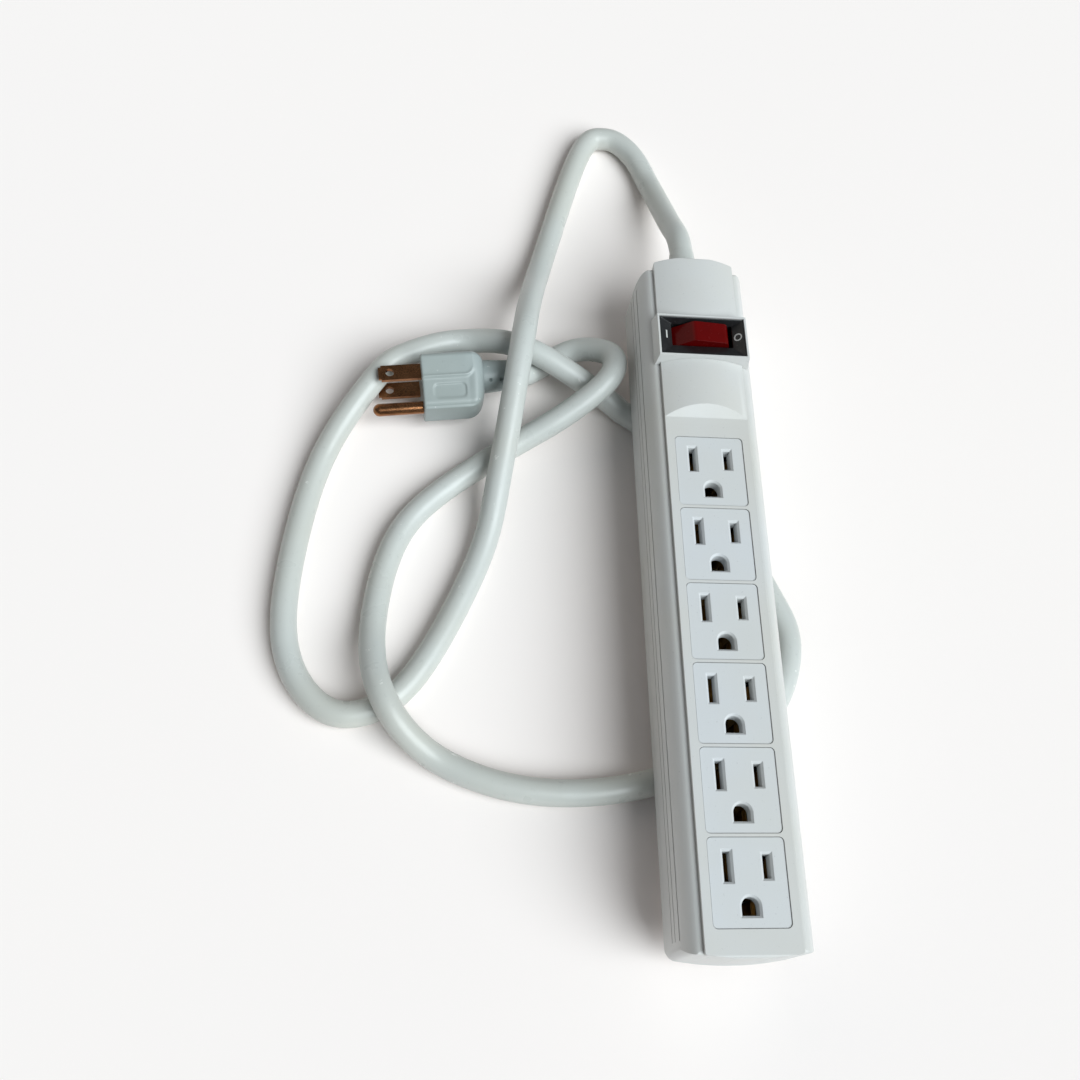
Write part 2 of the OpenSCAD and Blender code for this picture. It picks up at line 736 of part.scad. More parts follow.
L = lay_z;
cord_points = [
    [0, 107, exit_z], [0, 146, exit_z - 0.2], [-2, 167, -11], [-7, 196, L + 0.3],
    [-14.5, 213, L], [-25, 219.5, L], [-36.5, 210, L], [-54.5, 150, L + 1.2],
    [-62, 118, -6.5], [-66, 94, -0.1], [-73, 50, -11.8], [-81, 14, L],
    [-105, -33, L], [-128, -45, L], [-145, -31, L], [-150, -2, L],
    [-141, 51, L + 0.2], [-121, 86, -14.1], [-108, 97.5, -13.9], [-87, 105.5, -16],
    [-61, 98.7, -9.8], [-21, 77.5, L], [6, 52.5, L], [25, 9.5, L],
    [33.5, -17, L], [20, -46, L], [-18, -67, L], [-60, -71.3, L],
    [-94, -61, L], [-114, -42, -11.3], [-118.5, -10, L + 1.2], [-108, 28, L],
    [-76, 56.5, L], [-50, 71, -13.5], [-32, 84.5, -6.5], [-29.5, 98, -9.5],
    [-42, 105.5, -18.5], [-57, 98.5, L], [-65, 91.5, -17.2], [-79, 88.3, -14]];

module power_cord() {
    color([0.85, 0.85, 0.8]) tube(on_floor(spline(cord_points, 2)), cord_r, 10, [1, 0, 0]);
}

// ---- plug, lying on its side with its blades pointing away from the housing ----

// Local frame: blades towards -X, ground pin towards -Y, blades above and below each other
module plugged() {
    translate(plug_at) rotate([0, 0, plug_yaw]) children();
}

module plug_slice(x, scale_by) {
    // wide flat beside the blades, narrowing to the ground pin
    translate([x, 0, 0]) rotate([90, 0, 90]) linear_extrude(0.1) polygon([for (p =
        concat(arc(3.6, plug_half - 2, 2, 2, 90, 0, 3), arc(3.6, -plug_half + 2, 2, 2, 0, -90, 3),
               arc(-12.8, -4.2, 2.6, 2.6, -110, -180, 3), arc(-12.8, 4.2, 2.6, 2.6, 180, 110, 3)))
        [p[0] * scale_by, p[1] * scale_by]]);
}

module plug_body() {
    color(housing_color) plugged() hull() {
        plug_slice(0, 1);
        plug_slice(plug_len * 0.72, 1.02);
        plug_slice(plug_len - 0.1, 0.72);
    }
}

module plug_strain_relief() {
    color(housing_color) plugged() translate([plug_len, 0, 0]) rotate([0, 90, 0]) difference() {
        union() {
            cylinder(h = relief_len, r1 = 6.4, r2 = 5.8);
            translate([0, 0, relief_len - 2]) cylinder(h = 1.5, r = 6.4);
        }
        translate([0, 0, -1]) cylinder(h = relief_len + 2, r = cord_r + 0.05);
    }
}

module blade(z, w) {
    difference() {
        union() {
            box(-blade_len + 1, 9, -w / 2, w / 2, z - 0.75, z + 0.75);
            box(-blade_len, -blade_len + 1, -w / 2 + 0.7, w / 2 - 0.7, z - 0.5, z + 0.5);
        }
        rod(-blade_len + 4.3, 0, z - 2, z + 2, 1.6);
    }
}

module plug_blade_hot() { color(brass) plugged() blade(blade_x, 6.35); }

module plug_blade_neutral() { color(brass) plugged() blade(-blade_x, 6.35); }

module plug_ground_pin() {
    color(steel) plugged() translate([0, -ground_offset, 0]) rotate([0, -90, 0]) {
        translate([0, 0, -9]) cylinder(h = 9, r = 2);
        cylinder(h = pin_len - 2.4, r = 2.4);
        translate([0, 0, pin_len - 2.4]) sphere(2.4);
    }
}

top_cover();
bottom_cover();
for (k = [1 : outlet_count]) outlet_face(k);
switch_frame();
switch_housing();
on_mark();
off_mark();
rocker();
neon_lamp();
lamp_resistor();
plunger();
plunger_spring();
contact_lever();
moving_contact();
fixed_contact();
lever_pin();
line_terminal();
load_terminal();
lamp_terminal();
hot_bus_bar();
neutral_bus_bar();
ground_bus_bar();
insulating_sheet();
line_lead();
neutral_lead();
ground_lead();
load_lead();
bus_rivets();
case_screws();
cord_clamp();
clamp_screws();
cord_gland();
power_cord();
plug_body();
plug_strain_relief();
plug_blade_hot();
plug_blade_neutral();
plug_ground_pin();
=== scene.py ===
"""Looks of the six-outlet power strip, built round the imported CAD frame.

Row frame: +X across the housing, +Y along it towards the switch, +Z up out of the outlets.
Lengths below are in metres unless a name ends in _mm.
"""

import json
import math

import bmesh
import bpy
from mathutils import Matrix, Vector


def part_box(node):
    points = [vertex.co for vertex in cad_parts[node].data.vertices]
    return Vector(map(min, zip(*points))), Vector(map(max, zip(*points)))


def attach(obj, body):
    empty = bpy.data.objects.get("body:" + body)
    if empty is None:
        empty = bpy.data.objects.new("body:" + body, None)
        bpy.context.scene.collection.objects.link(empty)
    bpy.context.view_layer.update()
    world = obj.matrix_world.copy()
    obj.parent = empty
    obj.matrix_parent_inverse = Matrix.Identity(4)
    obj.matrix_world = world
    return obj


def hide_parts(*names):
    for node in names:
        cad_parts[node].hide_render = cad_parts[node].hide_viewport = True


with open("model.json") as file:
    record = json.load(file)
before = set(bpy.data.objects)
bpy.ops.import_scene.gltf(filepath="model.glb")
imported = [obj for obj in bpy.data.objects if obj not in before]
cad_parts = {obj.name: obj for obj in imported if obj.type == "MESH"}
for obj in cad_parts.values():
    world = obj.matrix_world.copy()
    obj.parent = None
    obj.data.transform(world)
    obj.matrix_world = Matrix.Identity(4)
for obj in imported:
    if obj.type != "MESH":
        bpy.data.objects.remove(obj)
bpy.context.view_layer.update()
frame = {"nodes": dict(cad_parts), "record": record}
nodes = frame["nodes"]
MM = 0.001

# ---------------------------------------------------------------- camera

CAMERA_AZIMUTH, CAMERA_ELEVATION, CAMERA_ROLL = -15.9, 64.9, 16.1
CAMERA_TARGET = Vector((-0.0624, 0.0076, 0.01225))
CAMERA_DISTANCE = 0.398
CAMERA_LENS = 38.87


def make_camera():
    azimuth, elevation, roll = (math.radians(v) for v in (CAMERA_AZIMUTH, CAMERA_ELEVATION, CAMERA_ROLL))
    back = Vector((
        math.sin(azimuth) * math.cos(elevation),
        -math.cos(azimuth) * math.cos(elevation),
        math.sin(elevation),
    ))
    right = Vector((math.cos(azimuth), math.sin(azimuth), 0))
    up = back.cross(right)
    rolled_right = math.cos(roll) * right + math.sin(roll) * up
    rolled_up = math.cos(roll) * up - math.sin(roll) * right
    data = bpy.data.cameras.new("camera")
    data.lens = CAMERA_LENS
    data.sensor_width = 36
    data.clip_start, data.clip_end = 0.01, 20
    camera = bpy.data.objects.new("camera", data)
    turn = Matrix((rolled_right, rolled_up, back)).transposed().to_4x4()
    camera.matrix_world = Matrix.Translation(CAMERA_TARGET + back * CAMERA_DISTANCE) @ turn
    bpy.context.scene.collection.objects.link(camera)
    bpy.context.scene.camera = camera


make_camera()

# ---------------------------------------------------------------- the lead

CORD_R = 0.0047
EXIT_Z_MM = -2.0
LAY_Z_MM = -21.7
# Where the lead passes under the housing it is held at its lying height
HOUSING_HALF_MM = 25
HOUSING_END_MM = 130
UNDERSIDE_MM = -16.75
ROUTE_STEPS = 12
SMOOTHING_PASSES = 5
LEAD_SIDES = 32
L = LAY_Z_MM
CORD_POINTS_MM = [
    (0, 107, EXIT_Z_MM), (0, 146, EXIT_Z_MM - 0.2), (-2, 167, -11), (-7, 196, L + 0.3),
    (-14.5, 213, L), (-25, 219.5, L), (-36.5, 210, L), (-54.5, 150, L + 1.2),
    (-62, 118, -6.5), (-66, 94, -0.1), (-73, 50, -11.8), (-81, 14, L),
    (-105, -33, L), (-128, -45, L), (-145, -31, L), (-150, -2, L),
    (-141, 51, L + 0.2), (-121, 86, -14.1), (-108, 97.5, -13.9), (-87, 105.5, -16),
    (-61, 98.7, -9.8), (-21, 77.5, L), (6, 52.5, L), (25, 9.5, L),
    (33.5, -17, L), (20, -46, L), (-18, -67, L), (-60, -71.3, L),
    (-94, -61, L), (-114, -42, -11.3), (-118.5, -10, L + 1.2), (-108, 28, L),
    (-76, 56.5, L), (-50, 71, -13.5), (-32, 84.5, -6.5), (-29.5, 98, -9.5),
    (-42, 105.5, -18.5), (-57, 98.5, L), (-65, 91.5, -17.2), (-79, 88.3, -14),
]


def smooth_route(points, steps):
    """Catmull-Rom curve through the points, lightly smoothed and kept at or above the lying height."""
    last = len(points) - 1
    out = []
    for i in range(last):
        p0, p1, p2, p3 = (Vector(points[max(0, min(last, i + k))]) for k in (-1, 0, 1, 2))
        for j in range(steps):
            t = j / steps
            out.append(0.5 * (
                2 * p1 + (p2 - p0) * t + (2 * p0 - 5 * p1 + 4 * p2 - p3) * t**2
                + (3 * p1 - p0 - 3 * p2 + p3) * t**3
            ))
    out.append(Vector(points[last]))
    line = [Vector((p.x, p.y, max(p.z, LAY_Z_MM))) for p in out]
    for _ in range(SMOOTHING_PASSES):
        inner = [0.25 * a + 0.5 * b + 0.25 * c for a, b, c in zip(line, line[1:], line[2:])]
        line = [line[0], *inner, line[-1]]
        for p in line:
            in_plan = abs(p.x) < HOUSING_HALF_MM and p.y < HOUSING_END_MM
            if in_plan and p.z < UNDERSIDE_MM:
                p.z = LAY_Z_MM
    return [p * MM for p in line]


def add_piece(name, vertices, faces, smooth=True):
    """Makes an object from vertices and faces in metres."""
    mesh = bpy.data.meshes.new(name)
    mesh.from_pydata([tuple(v) for v in vertices], [], faces)
    mesh.update()
    made = bmesh.new()
    made.from_mesh(mesh)
    bmesh.ops.recalc_face_normals(made, faces=made.faces)
    made.to_mesh(mesh)
    made.free()
    for face in mesh.polygons:
        face.use_smooth = smooth
    piece = bpy.data.objects.new(name, mesh)
    bpy.context.scene.collection.objects.link(piece)
    return piece


def skin(rings, cap_start=True, cap_end=True):
    """Vertices and faces of a skin over rings of equal size."""
    around = len(rings[0])
    vertices = [point for ring in rings for point in ring]
    faces = []
    for i in range(len(rings) - 1):
        for j in range(around):
            k = (j + 1) % around
            faces.append((i * around + j, i * around + k, (i + 1) * around + k, (i + 1) * around + j))
    for wanted, first in ((cap_start, 0), (cap_end, (len(rings) - 1) * around)):
        if wanted:
            centre = len(vertices)
            vertices.append(sum((vertices[first + j] for j in range(around)), Vector()) / around)
            faces += [(first + j, first + (j + 1) % around, centre) for j in range(around)]
    return vertices, faces


def swept_rings(line, radius, around):
    """Rings square to a line, turned as little as possible from one to the next."""
    side = Vector((1, 0, 0))
    rings = []
    for i, place in enumerate(line):
        along = (line[min(i + 1, len(line) - 1)] - line[max(i - 1, 0)]).normalized()
        side = (side - along * side.dot(along)).normalized()
        other = along.cross(side)
        turns = [math.tau * j / around for j in range(around)]
        rings.append([place + radius * (math.cos(t) * side + math.sin(t) * other) for t in turns])
    return rings


cord_line = smooth_route(CORD_POINTS_MM, ROUTE_STEPS)
lead = add_piece("lead", *skin(swept_rings(cord_line, CORD_R, LEAD_SIDES)))
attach(lead, "housing")
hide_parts("power_cord")

# ---------------------------------------------------------------- the plug

PLUG_YAW = math.radians(7)
PLUG_LEN, NECK_LEN = 24.0, 13.0
NECK_R = 6.4
SHOULDER_START = 16.5
FRONT_ROUNDING = 0.7
OUTLINE_STEPS = 220
NECK_SIDES = 180
DIMPLE_PLACES = (2.8, 7.0)
DIMPLE_TURNS = (0.75, 1.25)
DIMPLE_DEPTH = 1.1
plug_low, plug_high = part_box("plug_body")
plug_middle_z = (plug_low[2] + plug_high[2]) / 2
PLUG_PLACE = Matrix.Translation((-0.104, 0.0852, plug_middle_z)) @ Matrix.Rotation(PLUG_YAW, 4, "Z")


def plug_point(x, y, z):
    """A point of the plug's own frame in mm: blades towards -X, ground pin towards -Y."""
    return PLUG_PLACE @ (Vector((x, y, z)) * MM)


def rounded_box_distance(x, y, box, radius):
    """Signed distance to a rounded rectangle (x0, x1, y0, y1), below zero inside."""
    x0, x1, y0, y1 = box
    dx = abs(x - (x0 + x1) / 2) - (x1 - x0) / 2 + radius
    dy = abs(y - (y0 + y1) / 2) - (y1 - y0) / 2 + radius
    return math.hypot(max(dx, 0), max(dy, 0)) + min(max(dx, dy), 0) - radius


def ease(value, low, high):
    t = min(1, max(0, (value - low) / (high - low)))
    return t * t * (3 - 2 * t)


def plug_outline(steps):
    """Evenly spaced points of the body's section, as (y, z), going round once."""
    corners = []
    for y, z, radius, start, end in (
        (3.2, 10.1, 2.3, 90, 0), (3.2, -10.1, 2.3, 0, -90),
        (-12.8, -4.2, 2.6, -110, -180), (-12.8, 4.2, 2.6, 180, 110),
    ):
        for i in range(7):
            t = math.radians(start + (end - start) * i / 6)
            corners.append(Vector((y + radius * math.cos(t), z + radius * math.sin(t))))
    corners.append(corners[0])
    spans = [(b - a).length for a, b in zip(corners, corners[1:])]
    total = sum(spans)
    points = []
    for i in range(steps):
        left = total * i / steps
        k = 0
        while left > spans[k]:
            left -= spans[k]
            k += 1
        points.append(corners[k].lerp(corners[k + 1], left / spans[k]))
    return points


def plug_relief(x, y):
    """Depth below the body's outer surface of its side faces: raised upper face, lip and grip."""
    upper = rounded_box_distance(x, y, (-9, 20, -4.3, 14), 3.6)
    grip = rounded_box_distance(x, y, (4, 16.5, -12.9, -7.0), 1.8)
    lip = 0.45 * math.exp(-((upper / 0.55) ** 2))
    return 0.3 + 0.45 * ease(upper, -0.3, 0.5) - lip + 0.45 * (1 - ease(grip, -0.5, 0.25))


def make_plug_moulding():
    """The plug's body: its section swept back from the face, drawn in to the neck at the rear."""
    outline = plug_outline(OUTLINE_STEPS)
    rings = []
    stations = [0.0, 0.12, 0.35, FRONT_ROUNDING]
    stations += [FRONT_ROUNDING + i * (PLUG_LEN - FRONT_ROUNDING) / 96 for i in range(1, 97)]
    for x in stations:
        shoulder = max(0, (x - SHOULDER_START) / (PLUG_LEN - SHOULDER_START))
        pull = 1 - math.sqrt(max(0, 1 - min(1, shoulder) ** 2.4))
        edge = min(1, x / FRONT_ROUNDING)
        front = FRONT_ROUNDING * (1 - math.sqrt(max(0, 1 - (1 - edge) ** 2)))
        fade = 1 - ease(shoulder, 0.1, 0.6)
        ring = []
        for y, z in outline:
            inward = Vector((y + 4, z)).normalized()
            depth = front
            if abs(z) > 5:
                depth += plug_relief(x, y) * fade
            point = Vector((y, z)) - inward * depth
            point = point.lerp(Vector((y, z)).normalized() * (NECK_R + 0.05), pull)
            ring.append(plug_point(x, *point))
        rings.append(ring)
    return add_piece("plug_moulding", *skin(rings))


def make_plug_neck():
    """The plug's strain relief: a tapering sleeve with four dimples and a rounded end ring."""
    rings = []
    for i in range(75):
        x = NECK_LEN * i / 74
        radius = NECK_R - 0.45 * ease(x, 0, 9.5) - 0.25 * ease(x, 9.9, 10.3) + 0.75 * ease(x, 10.6, 11)
        radius -= 0.7 * (1 - math.sqrt(1 - ease(x, 12.3, 13) ** 2))
        ring = []
        for j in range(NECK_SIDES):
            t = math.tau * j / NECK_SIDES
            depth = 0
            for dimple_x in DIMPLE_PLACES:
                for dimple_turn in DIMPLE_TURNS:
                    off = math.hypot(x - dimple_x, (t - dimple_turn * math.pi) * radius)
                    depth += DIMPLE_DEPTH * (1 - ease(off, 0.25, 0.75))
            r = radius - depth
            ring.append(plug_point(PLUG_LEN - 0.3 + x, r * math.sin(t), -r * math.cos(t)))
        rings.append(ring)
    return add_piece("plug_neck", *skin(rings))


plug_moulding = make_plug_moulding()
plug_neck = make_plug_neck()
for piece, stood_for in ((plug_moulding, "plug_body"), (plug_neck, "plug_strain_relief")):
    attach(piece, "housing")
    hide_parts(stood_for)

# ---------------------------------------------------------------- materials

COVER = (0.625, 0.628, 0.615)
FACE = (0.632, 0.65, 0.662)
VINYL = (0.55, 0.57, 0.545)
PLUG_VINYL = (0.33, 0.375, 0.37)


class Graph:
    """Small helper that adds shader nodes and links to one material."""

    def __init__(self, name):
        self.material = bpy.data.materials.new(name)
        self.material.use_nodes = True
        self.tree = self.material.node_tree
        self.tree.nodes.clear()
        self.out = self.add("ShaderNodeOutputMaterial")
        self.bsdf = self.add("ShaderNodeBsdfPrincipled")
        self.link(self.bsdf.outputs["BSDF"], self.out.inputs["Surface"])
        self.coords = self.add("ShaderNodeTexCoord").outputs["Object"]

    def add(self, kind, **values):
        made = self.tree.nodes.new(kind)
        for key, value in values.items():
            setattr(made, key, value)
        return made

    def link(self, source, target):
        self.tree.links.new(source, target)

    def noise(self, scale, detail=2.0, rough=0.5, stretch=(1, 1, 1), offset=(0, 0, 0)):
        place = self.add("ShaderNodeMapping")
        place.inputs["Scale"].default_value = stretch
        place.inputs["Location"].default_value = offset
        self.link(self.coords, place.inputs["Vector"])
        made = self.add("ShaderNodeTexNoise")
        made.inputs["Scale"].default_value = scale
        made.inputs["Detail"].default_value = detail
        made.inputs["Roughness"].default_value = rough
        self.link(place.outputs["Vector"], made.inputs["Vector"])
        return made.outputs["Fac"]

    def ramp(self, source, low, high, from_value=0.0, to_value=1.0):
        """Maps low..high of the source to from_value..to_value, clamped."""
        made = self.add("ShaderNodeMapRange")
        limits = (("From Min", low), ("From Max", high), ("To Min", from_value), ("To Max", to_value))
        for key, value in limits:
            made.inputs[key].default_value = value
        self.link(source, made.inputs["Value"])
        return made.outputs["Result"]

    def mix(self, factor, first, second):
        """Colour mix; each of the three may be a socket or a value."""
        made = self.add("ShaderNodeMix", data_type="RGBA")
        for socket, value in ((made.inputs[0], factor), (made.inputs[6], first), (made.inputs[7], second)):
            if isinstance(value, bpy.types.NodeSocket):
                self.link(value, socket)
            elif isinstance(value, (int, float)):
                socket.default_value = value
            else:
                socket.default_value = (*value, 1)
        return made.outputs[2]

    def math(self, operation, first, second):
        made = self.add("ShaderNodeMath", operation=operation)
        for socket, value in zip(made.inputs, (first, second)):
            if isinstance(value, bpy.types.NodeSocket):
                self.link(value, socket)
            else:
                socket.default_value = value
        return made.outputs[0]

    def set(self, **values):
        """Sets or links the shader's own sockets; the names use _ for a space."""
        for key, value in values.items():
            socket = self.bsdf.inputs[key.replace("_", " ")]
            if isinstance(value, bpy.types.NodeSocket):
                self.link(value, socket)
            elif isinstance(value, tuple):
                socket.default_value = (*value, 1)
            else:
                socket.default_value = value

    def relief(self, heights, round_mm=0.0):
        """Chains bumps of (height socket, depth in metres), over edges rounded by round_mm."""
        normal = None
        if round_mm:
            rounded = self.add("ShaderNodeBevel", samples=4)
            rounded.inputs["Radius"].default_value = round_mm * MM
            normal = rounded.outputs["Normal"]
        for height, depth in heights:
            bump = self.add("ShaderNodeBump")
            bump.inputs["Distance"].default_value = depth
            bump.inputs["Strength"].default_value = 1.0
            self.link(height, bump.inputs["Height"])
            if normal is not None:
                self.link(normal, bump.inputs["Normal"])
            normal = bump.outputs["Normal"]
        if normal is not None:
            self.link(normal, self.bsdf.inputs["Normal"])

    def crevice(self, reach_mm):
        """Ambient occlusion mask for painted shade: 1 in the open, falling towards 0 in narrow clefts."""
        made = self.add("ShaderNodeAmbientOcclusion", samples=6)
        made.inputs["Distance"].default_value = reach_mm * MM
        return made.outputs["AO"]


def moulded(name, base, rough=0.42, grain_mm=0.28, gap_shade_amount=0.35, round_mm=0.25, blotch=0.06):
    """Off-white moulded plastic: spark-eroded grain, faint yellowing, painted shade in narrow clefts,
    scuffs.
    """
    g = Graph(name)
    warm = tuple(c * s for c, s in zip(base, (0.97, 0.93, 0.84)))
    tone = g.mix(g.ramp(g.noise(22, 3), 0.42, 0.72, 0, blotch * 8), base, warm)
    # Painted shade: the colour is darkened towards this tone in narrow clefts between parts, as found by
    # ambient occlusion.
    gap_shade_tone = tuple(c * 0.30 for c in (base[0], base[1] * 0.92, base[2] * 0.82))
    gap_shade_mask = g.ramp(g.crevice(1.6), 0.15, 0.85, gap_shade_amount, 0)
    tone = g.mix(gap_shade_mask, tone, gap_shade_tone)
    specks = g.ramp(g.noise(1400, 1, 0.5, offset=(3, 1, 7)), 0.72, 0.78, 0, 0.30)
    tone = g.mix(specks, tone, tuple(c * 0.55 for c in base))
    scuff = g.ramp(g.noise(160, 4, 0.6, stretch=(1, 6, 1), offset=(1, 5, 2)), 0.66, 0.74, 0, 0.20)
    tone = g.mix(scuff, tone, tuple(min(1, c * 1.14) for c in base))
    shine = g.ramp(g.noise(60, 3, offset=(5, 0, 2)), 0.3, 0.7, rough - 0.06, rough + 0.08)
    g.set(Base_Color=tone, Roughness=shine, Specular_IOR_Level=0.42)
    g.relief([(g.noise(1000 / grain_mm, 2), 0.000022), (g.noise(35, 1), 0.00012)], round_mm)
    return g.material


def vinyl(name, base):
    """Soft vinyl of the lead and the plug: even sheen, handling marks, a few pale scuffs."""
    g = Graph(name)
    tan = tuple(c * s for c, s in zip(base, (0.93, 0.86, 0.74)))
    tone = g.mix(g.ramp(g.noise(14, 3, offset=(2, 2, 2)), 0.45, 0.7, 0, 0.35), base, tan)
    dirt = g.ramp(g.noise(420, 5, 0.7, offset=(4, 4, 1)), 0.60, 0.72, 0, 0.28)
    tone = g.mix(dirt, tone, tuple(c * 0.62 for c in base))
    pale = g.ramp(g.noise(230, 4, 0.65, offset=(7, 3, 9)), 0.68, 0.71, 0, 0.6)
    tone = g.mix(pale, tone, (0.82, 0.82, 0.79))
    # Painted shade: the colour is darkened in narrow clefts, as found by ambient occlusion, where the lead
    # lies against itself or other parts.
    gap_shade_mask = g.ramp(g.crevice(1.5), 0.15, 0.8, 0.3, 0)
    tone = g.mix(gap_shade_mask, tone, tuple(c * 0.35 for c in base))
    shine = g.ramp(g.noise(90, 3, offset=(5, 1, 2)), 0.3, 0.7, 0.26, 0.42)
    g.set(Base_Color=tone, Roughness=shine, Specular_IOR_Level=0.5)
    g.relief([(g.noise(900, 3), 0.00002), (g.noise(90, 2), 0.00018)], 0.15)
    return g.material


def dark_plastic(name, base=(0.012, 0.012, 0.013)):
    """Satin black plastic with dust and fine scratches."""
    g = Graph(name)
    dust = g.ramp(g.noise(900, 5, 0.7), 0.58, 0.75, 0, 0.35)
    tone = g.mix(dust, base, (0.16, 0.15, 0.14))
    shine = g.ramp(g.noise(300, 3, offset=(1, 2, 3)), 0.3, 0.7, 0.28, 0.5)
    g.set(Base_Color=tone, Roughness=shine, Specular_IOR_Level=0.5)
    g.relief([(g.noise(2200, 2), 0.00003)], 0.2)
    return g.material


def lens_red(name):
    """Glossy translucent red of the rocker."""
    g = Graph(name)
    tone = g.mix(g.ramp(g.noise(120, 2), 0.35, 0.7, 0, 0.5), (0.115, 0.0012, 0.0012), (0.075, 0.001, 0.001))
    g.set(
        Base_Color=tone,
        Roughness=g.ramp(g.noise(500, 3), 0.3, 0.7, 0.16, 0.30),
        Specular_IOR_Level=0.14,
        Coat_Weight=0.08,
        Coat_Roughness=0.1,
    )
    g.relief([(g.noise(800, 2), 0.00001)], 0.25)
    return g.material


def metal(name, base, rough=0.25, brush=(1, 1, 1), tarnish=0.3, dull=None):
    """Plated or bare metal with drawn lines and patchy tarnish."""
    g = Graph(name)
    dull = dull or tuple(c * 0.55 for c in base)
    tone = g.mix(g.ramp(g.noise(260, 4, 0.6), 0.45, 0.75, 0, tarnish), base, dull)
    lines = g.noise(1500, 3, 0.6, stretch=brush)
    g.set(
        Base_Color=tone,
        Metallic=1.0,
        Roughness=g.ramp(lines, 0.3, 0.7, rough - 0.07, rough + 0.13),
    )
    g.relief([(lines, 0.000008)], 0.08)
    return g.material


def plain_plastic(name, base, rough=0.45, depth=0.00002):
    """Small inner plastic piece: slight mottling and moulding grain."""
    g = Graph(name)
    tone = g.mix(g.ramp(g.noise(300, 3), 0.4, 0.7, 0, 0.4), base, tuple(c * 0.8 for c in base))
    g.set(Base_Color=tone, Roughness=g.ramp(g.noise(700, 2), 0.3, 0.7, rough - 0.08, rough + 0.08))
    g.relief([(g.noise(1800, 2), depth)], 0.1)
    return g.material


def lamp_glass(name):
    g = Graph(name)
    tone = g.mix(g.ramp(g.noise(400, 2), 0.4, 0.7, 0, 0.5), (0.95, 0.62, 0.45), (0.95, 0.45, 0.25))
    g.set(Base_Color=tone, Roughness=0.05, Transmission_Weight=0.7, IOR=1.5)
    return g.material


MATERIALS = {
    "cover_plastic": moulded("cover_plastic", COVER),
    "face_plastic": moulded("face_plastic", FACE, rough=0.46, gap_shade_amount=0.25, round_mm=0.2),
    "black_plastic": dark_plastic("black_plastic"),
    "mark_white": plain_plastic("mark_white", (0.55, 0.55, 0.53), 0.5),
    "rocker_red": lens_red("rocker_red"),
    "lamp_glass": lamp_glass("lamp_glass"),
    "resistor_body": plain_plastic("resistor_body", (0.60, 0.42, 0.22), 0.3),
    "plunger_nylon": plain_plastic("plunger_nylon", (0.72, 0.70, 0.62), 0.35),
    "spring_steel": metal("spring_steel", (0.56, 0.56, 0.58), 0.22, (1, 1, 8)),
    "brass": metal("brass", (0.46, 0.30, 0.12), 0.35, (8, 1, 8), 0.6, (0.16, 0.09, 0.04)),
    "contact_silver": metal("contact_silver", (0.78, 0.77, 0.74), 0.3),
    "fibre_sheet": plain_plastic("fibre_sheet", (0.26, 0.27, 0.24), 0.85, 0.00006),
    "wire_black": plain_plastic("wire_black", (0.02, 0.02, 0.02), 0.4),
    "wire_white": plain_plastic("wire_white", (0.7, 0.7, 0.66), 0.4),
    "wire_green": plain_plastic("wire_green", (0.03, 0.22, 0.07), 0.4),
    "screw_steel": metal("screw_steel", (0.60, 0.60, 0.60), 0.3, (1, 1, 1), 0.5),
    "clamp_nylon": plain_plastic("clamp_nylon", (0.66, 0.66, 0.62), 0.4),
    "cord_vinyl": vinyl("cord_vinyl", VINYL),
    "plug_vinyl": vinyl("plug_vinyl", PLUG_VINYL),
    "blade_plating": metal("blade_plating", (0.32, 0.145, 0.065), 0.2, (1, 10, 1), 0.6, (0.12, 0.05, 0.02)),
}


def dress(piece, slot):
    """Gives a piece one material."""
    piece.data.materials.clear()
    piece.data.materials.append(MATERIALS[slot])


dress(lead, "cord_vinyl")
for piece in (plug_moulding, plug_neck):
    dress(piece, "plug_vinyl")


JOIN_DISTANCE = 0.000002
SHARP_DEGREES = 24
SAME_FACE_DEGREES = 0.05


def smooth_by_angle(name, limit_degrees):
    """Geometry nodes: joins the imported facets' vertices, then shades smooth up to an edge angle."""
    group = bpy.data.node_groups.new(name, "GeometryNodeTree")
    group.interface.new_socket("Geometry", in_out="INPUT", socket_type="NodeSocketGeometry")
    group.interface.new_socket("Geometry", in_out="OUTPUT", socket_type="NodeSocketGeometry")
    new, link = group.nodes.new, group.links.new
    source, target = new("NodeGroupInput"), new("NodeGroupOutput")
    bare = new("GeometryNodeRemoveAttribute")
    bare.inputs["Name"].default_value = "custom_normal"
    merge = new("GeometryNodeMergeByDistance")
    merge.inputs["Distance"].default_value = JOIN_DISTANCE
    faces, edges = new("GeometryNodeSetShadeSmooth"), new("GeometryNodeSetShadeSmooth")
    edges.domain = "EDGE"
    edges.inputs["Shade Smooth"].default_value = False
    angle = new("GeometryNodeInputMeshEdgeAngle")
    compare = new("FunctionNodeCompare")
    compare.operation = "GREATER_THAN"
    compare.inputs["B"].default_value = math.radians(limit_degrees)
    link(source.outputs[0], bare.inputs["Geometry"])
    link(bare.outputs["Geometry"], merge.inputs["Geometry"])
    link(merge.outputs["Geometry"], faces.inputs["Geometry"])
    link(faces.outputs["Geometry"], edges.inputs["Geometry"])
    link(angle.outputs["Unsigned Angle"], compare.inputs["A"])
    link(compare.outputs["Result"], edges.inputs["Selection"])
    link(edges.outputs["Geometry"], target.inputs[0])
    return group


SMOOTH = smooth_by_angle("smooth_by_angle", SHARP_DEGREES)


def shade(piece):
    piece.modifiers.new("smooth", "NODES").node_group = SMOOTH


# Width in mm of the rounding on each moulded piece's edges
EDGE_MM = {"top_cover": 0.45, "bottom_cover": 0.4, "switch_frame": 0.2, "rocker": 0.3, "cord_gland": 0.3}
EDGE_MM |= {f"outlet_face_{k}": 0.3 for k in range(1, 7)}


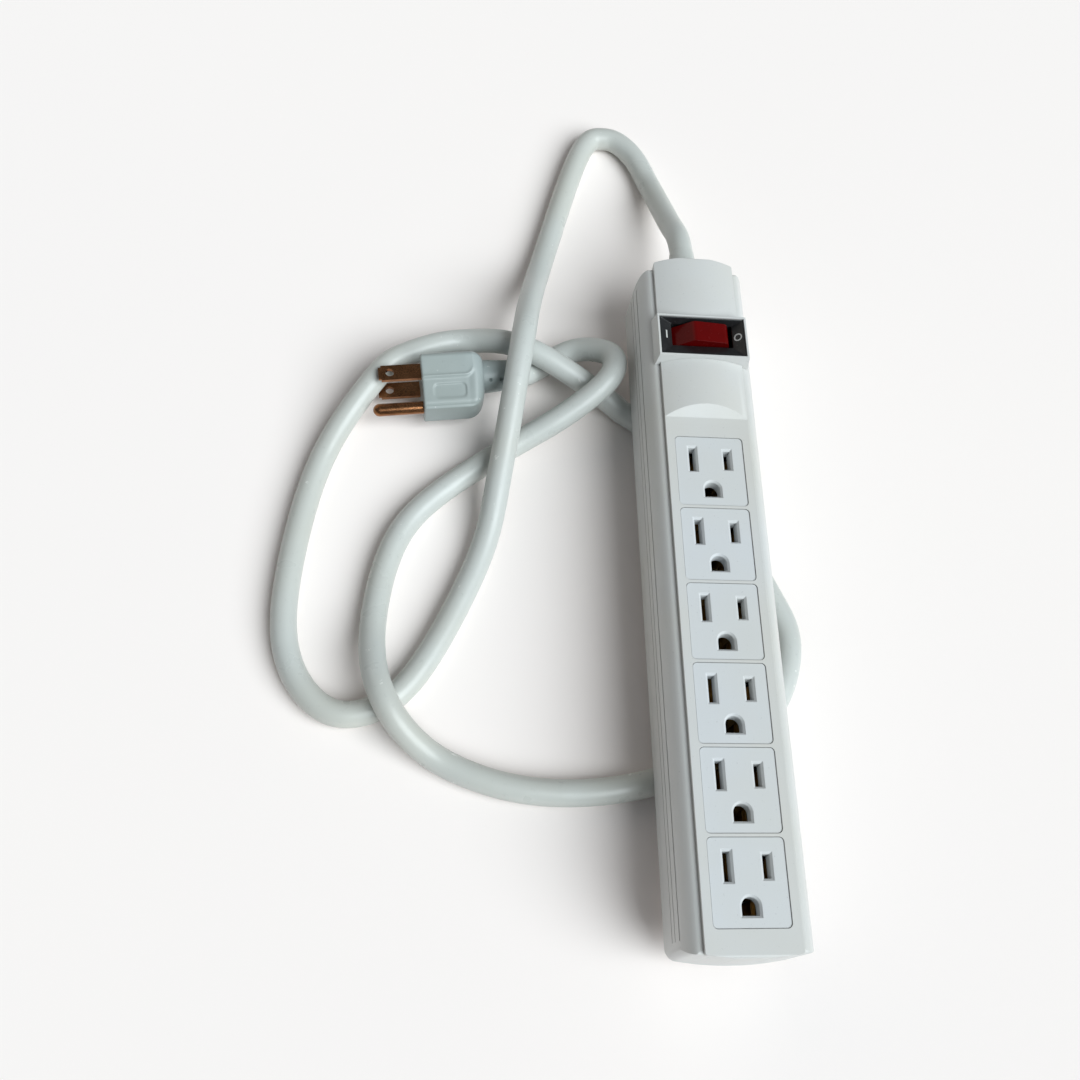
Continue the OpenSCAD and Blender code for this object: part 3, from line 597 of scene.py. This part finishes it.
def round_edges(piece, width_mm):
    """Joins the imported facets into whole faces, then rounds the sharp edges between them."""
    weld = piece.modifiers.new("weld", "WELD")
    weld.merge_threshold = JOIN_DISTANCE
    whole = piece.modifiers.new("whole_faces", "DECIMATE")
    whole.decimate_type = "DISSOLVE"
    whole.angle_limit = math.radians(SAME_FACE_DEGREES)
    edge = piece.modifiers.new("edge", "BEVEL")
    edge.width = width_mm * MM
    edge.segments = 3
    edge.limit_method = "ANGLE"
    edge.angle_limit = math.radians(SHARP_DEGREES)


def even_normals(piece):
    """Weights normals by face area, so long thin facets don't show as bands."""
    even = piece.modifiers.new("even_normals", "WEIGHTED_NORMAL")
    even.mode = "FACE_AREA"
    even.keep_sharp = True


slot_of = {row["node"]: row["material_slot"] for row in frame["record"]["subparts"]}
for node_name, node in nodes.items():
    dress(node, slot_of[node_name])
    if node_name in EDGE_MM:
        round_edges(node, EDGE_MM[node_name])
    shade(node)
    if node_name in EDGE_MM:
        even_normals(node)

# ---------------------------------------------------------------- floor and light

FLOOR_Z = -0.0264
FLOOR_SIZE = 6


def make_floor():
    mesh = bpy.data.meshes.new("floor")
    made = bmesh.new()
    bmesh.ops.create_grid(made, x_segments=1, y_segments=1, size=FLOOR_SIZE)
    made.to_mesh(mesh)
    made.free()
    floor = bpy.data.objects.new("floor", mesh)
    floor.location.z = FLOOR_Z
    bpy.context.scene.collection.objects.link(floor)
    g = Graph("floor")
    tone = g.mix(g.ramp(g.noise(3, 2), 0.3, 0.7), (0.97, 0.90, 0.865), (0.96, 0.89, 0.86))
    g.set(Base_Color=tone, Roughness=0.9, Specular_IOR_Level=0.1)
    mesh.materials.append(g.material)


def make_world(strength):
    world = bpy.data.worlds.new("studio")
    bpy.context.scene.world = world
    world.use_nodes = True
    background = world.node_tree.nodes["Background"]
    background.inputs["Color"].default_value = (0.84, 0.93, 1.0, 1)
    background.inputs["Strength"].default_value = strength


def sun_light(name, towards, strength, spread_degrees, tint):
    """Soft distant light; towards points from the object to the light."""
    data = bpy.data.lights.new(name, "SUN")
    data.energy = strength
    data.angle = math.radians(spread_degrees)
    data.color = tint
    light = bpy.data.objects.new(name, data)
    light.rotation_mode = "QUATERNION"
    light.rotation_quaternion = Vector(towards).to_track_quat("Z", "Y")
    bpy.context.scene.collection.objects.link(light)


make_floor()
make_world(0.18)
sun_light("window", (0.55, -0.42, 0.72), 3.7, 50, (0.90, 0.97, 1.0))
sun_light("wall_bounce", (-0.55, 0.70, 0.45), 0.30, 60, (1.0, 0.88, 0.74))

bpy.context.scene.view_settings.view_transform = "Standard"
